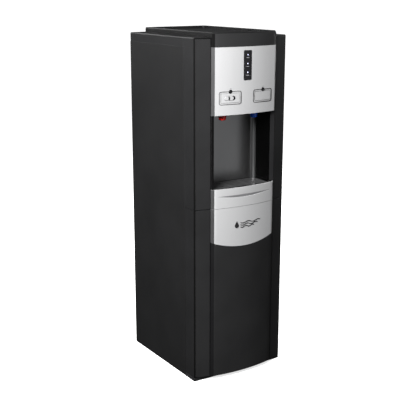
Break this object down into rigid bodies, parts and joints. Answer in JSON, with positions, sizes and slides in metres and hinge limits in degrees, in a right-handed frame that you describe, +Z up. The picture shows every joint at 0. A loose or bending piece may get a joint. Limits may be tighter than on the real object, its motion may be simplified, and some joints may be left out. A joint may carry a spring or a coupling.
{
  "type": "water dispenser",
  "caption": "Floor-standing bottom-loading water dispenser: hinged lower door, bottle bay, dispensing alcove with hot and cold taps, push pads, child lock, drip drawer, rear condenser.",
  "frame": {"origin": "on the floor at the middle of the footprint", "axes": "+X to the right of a person facing the front, -Y towards that person, +Z up"},
  "size_m": [0.324, 0.4014, 1.048],
  "materials": {
    "black_plastic": "fine moulded texture",
    "dark_steel": "dark grey powder coat",
    "rear_steel": "galvanised grey",
    "foot_rubber": "matt",
    "bay_plastic": "light grey moulded",
    "bay_lining": "light grey paint",
    "charcoal_plastic": "satin charcoal",
    "charcoal_gloss": "glossy charcoal",
    "alcove_black": "glossy black",
    "silver_paint": "silver metallic paint",
    "window_black": "black lens",
    "led_white": "lit white lens",
    "board_green": "solder mask",
    "tap_plastic": "natural food-grade plastic",
    "nozzle_red": "red",
    "nozzle_blue": "blue",
    "bright_steel": "stainless",
    "hose_clear": "milky silicone",
    "copper": "copper tube",
    "foam_white": "expanded foam",
    "compressor_black": "black enamel",
    "chrome_trim": "bright"
  },
  "bodies": {
    "cabinet": {"front_plinth": "black_plastic", "base_tray": "dark_steel", "rear_feet": "foot_rubber", "side_panel_left": "dark_steel", "side_panel_right": "dark_steel", "rear_panel": "rear_steel", "bay_floor": "bay_plastic", "bay_liner_left": "bay_lining", "bay_liner_right": "bay_lining", "bay_rear_wall": "bay_lining", "mid_deck": "rear_steel", "top_cover": "charcoal_plastic", "top_lid": "charcoal_gloss", "front_fascia": "charcoal_plastic", "column_strips": "charcoal_gloss", "alcove_liner": "alcove_black", "control_panel": "silver_paint", "indicator_window": "window_black", "indicator_leds": "led_white", "circuit_boards": "board_green", "pad_markers": "window_black", "hot_tap": "tap_plastic", "cold_tap": "tap_plastic", "hot_nozzle": "nozzle_red", "cold_nozzle": "nozzle_blue", "hinge_pins": "bright_steel", "probe_tube": "bright_steel", "probe_cap": "bay_plastic", "probe_hose": "hose_clear", "pump": "black_plastic", "cold_tank": "bright_steel", "evaporator_coil": "copper", "tank_insulation": "foam_white", "hot_tank": "bright_steel", "band_heater": "bright_steel", "compressor": "compressor_black", "compressor_mounts": "foot_rubber", "condenser_coil": "compressor_black", "filter_drier": "copper", "water_hoses": "hose_clear", "mains_inlet": "black_plastic", "service_bezel": "black_plastic", "drain_cap": "black_plastic", "rear_screws": "bright_steel"},
    "door": {"door_shell": "charcoal_gloss", "door_inner_panel": "black_plastic", "door_trim": "silver_paint", "door_strips": "charcoal_gloss", "door_emblem": "chrome_trim", "door_magnet": "foot_rubber"},
    "drip_drawer": {"drip_tray": "alcove_black", "drip_tray_front": "silver_paint"},
    "grille": {"drip_grille": "alcove_black"},
    "hot_pad": {"hot_button": "silver_paint", "hot_plunger": "tap_plastic"},
    "cold_pad": {"cold_button": "silver_paint", "cold_plunger": "tap_plastic"},
    "lock": {"child_lock_slider": "silver_paint"},
    "hot_rocker": {"hot_switch": "nozzle_red"},
    "cold_rocker": {"cold_switch": "nozzle_blue"}
  },
  "joints": [
    {"name": "door_hinge", "type": "hinge", "parent": "cabinet", "child": "door", "pos_m": [0.153, -0.1255, 0.276], "axis": [0, 0, 1], "range_deg": [0, 95]},
    {"name": "drip_drawer_slide", "type": "slide", "parent": "cabinet", "child": "drip_drawer", "axis": [0, -1, 0], "range_m": [0, 0.11]},
    {"name": "grille_lift", "type": "slide", "parent": "drip_drawer", "child": "grille", "axis": [0, 0, 1], "range_m": [0, 0.05]},
    {"name": "hot_pad_push", "type": "slide", "parent": "cabinet", "child": "hot_pad", "axis": [0, 1, 0], "range_m": [0, 0.004], "stiffness_N_per_m": 400, "springref_m": -0.002},
    {"name": "cold_pad_push", "type": "slide", "parent": "cabinet", "child": "cold_pad", "axis": [0, 1, 0], "range_m": [0, 0.004], "stiffness_N_per_m": 400, "springref_m": -0.002},
    {"name": "child_lock_slide", "type": "slide", "parent": "hot_pad", "child": "lock", "axis": [1, 0, 0], "range_m": [0, 0.005]},
    {"name": "hot_switch_rock", "type": "hinge", "parent": "cabinet", "child": "hot_rocker", "pos_m": [0.127, 0.1737, 0.945], "axis": [1, 0, 0], "range_deg": [0, 20]},
    {"name": "cold_switch_rock", "type": "hinge", "parent": "cabinet", "child": "cold_rocker", "pos_m": [0.127, 0.1737, 0.905], "axis": [1, 0, 0], "range_deg": [0, 20]}
  ]
}
